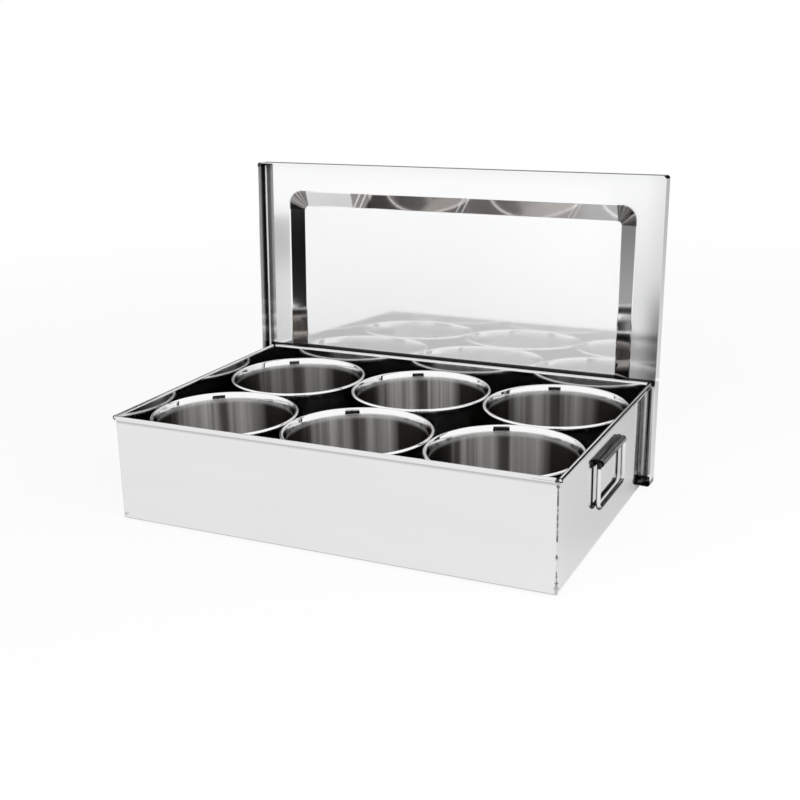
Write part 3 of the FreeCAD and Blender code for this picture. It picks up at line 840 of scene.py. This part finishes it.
# Each corner: its name, side and end of the tray, and its seam's radius and lumps
SEAM_CORNERS = (
    ("front_left", -1, -1, SEAM_THIN, ()),
    ("front_right", 1, -1, SEAM_THICK, SEAM_LUMPS),
    ("back_left", -1, 1, SEAM_THIN, ()),
    ("back_right", 1, 1, SEAM_THIN, ()),
)
WELD_GRIME = (320.0, 4.0, 0.6)
WELD_SPAN = (0.36, 0.62)
WELD_COLOURS = ((0.07, 0.066, 0.064), (0.52, 0.51, 0.50))
WELD_METAL = 0.9
WELD_ROUGH = (0.5, 0.3)
WELD_FOOT = (0.0112, 0.0096)
WELD_FOOT_DEPTH = 0.75
WELD_FOOT_COLOUR = (0.62, 0.61, 0.60)
GROUND_STRETCHES = ((0.0215, 0.0245, 0.0318, 0.0335), (0.0362, 0.0385, 0.0475, 0.0500))
GROUND_LEFT = (0.05, -0.05)
GROUND_COLOUR = grey(0.78)


def make_seam(name, side, end, radius, lumps, material):
    """A rippled thread of weld metal up one corner of the tray."""
    _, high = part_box("tray")
    sunk = radius * SEAM_SUNK_SHARE
    x = side * (high[0] - BEAD_PROUD - sunk)
    y = end * (high[1] - BEAD_PROUD - sunk)
    turns = [math.tau * index / SEAM_SIDES for index in range(SEAM_SIDES)]
    mesh = bmesh.new()
    rings = []
    for step in range(round((SEAM_HIGH - SEAM_LOW) / SEAM_STEP) + 1):
        z = SEAM_LOW + step * SEAM_STEP
        swell = 1 + SEAM_RIPPLE_SHARE * math.cos(math.tau * z / SEAM_PITCH)
        swell += sum(rise * math.exp(-((z - height) / reach) ** 2) for height, reach, rise in lumps)
        wide = radius * swell
        ring = [(x + wide * math.cos(turn), y + wide * math.sin(turn), z) for turn in turns]
        rings.append([mesh.verts.new(point) for point in ring])
    for low_ring, high_ring in zip(rings, rings[1:]):
        for index in range(SEAM_SIDES):
            after = (index + 1) % SEAM_SIDES
            mesh.faces.new((low_ring[index], low_ring[after], high_ring[after], high_ring[index]))
    mesh.faces.new(rings[0][::-1])
    mesh.faces.new(rings[-1])
    for face in mesh.faces:
        face.smooth = True
    data = bpy.data.meshes.new(name)
    mesh.to_mesh(data)
    mesh.free()
    data.materials.append(material)
    seam = bpy.data.objects.new(name, data)
    scene.collection.objects.link(seam)
    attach(seam, "tray")


def weld_metal():
    """Grey weld metal, lighter at its foot, ground bright in two stretches and all up the left corners."""
    material, graph, shader = new_material("weld_metal")
    place, _ = place_and_normal(graph)
    at = graph.parts(place)
    stretches = (graph.band(at["Z"], stretch) for stretch in GROUND_STRETCHES)
    ground = graph.most(*stretches, graph.ramp(at["X"], *GROUND_LEFT))
    grime = graph.noise(place, *WELD_GRIME)
    colour = graph.mix(graph.ramp(grime, *WELD_SPAN), *WELD_COLOURS)
    colour = graph.mix(graph.ramp(at["Z"], *WELD_FOOT, 0.0, WELD_FOOT_DEPTH), colour, WELD_FOOT_COLOUR)
    graph.feed(shader["Base Color"], graph.mix(ground, colour, GROUND_COLOUR))
    shader["Metallic"].default_value = WELD_METAL
    graph.feed(shader["Roughness"], graph.ramp(grime, *NOISE_SPAN, *WELD_ROUGH))
    return material


dress(["tray"], polished_tray())
dress([name for name in nodes if name.startswith("rim_wire")], polished_wire("rim_wire"))
dress(["handle_strap_left", "handle_strap_right"], strap_sheet())
dress(["handle_bail_left", "handle_bail_right"], polished_wire("bail_wire", bail_shade))
for pot_name, (pot_turn, pot_tone) in POT_LOOKS.items():
    dress([pot_name], spun_pot(f"spun_{pot_name}", pot_turn, pot_tone))
dress(["lid"], pressed_lid())

seam_metal = weld_metal()
for corner_name, corner_side, corner_end, seam_radius, seam_lumps in SEAM_CORNERS:
    make_seam(f"weld_seam_{corner_name}", corner_side, corner_end, seam_radius, seam_lumps, seam_metal)

make_camera()
make_stage()
scene.view_settings.view_transform = "Standard"
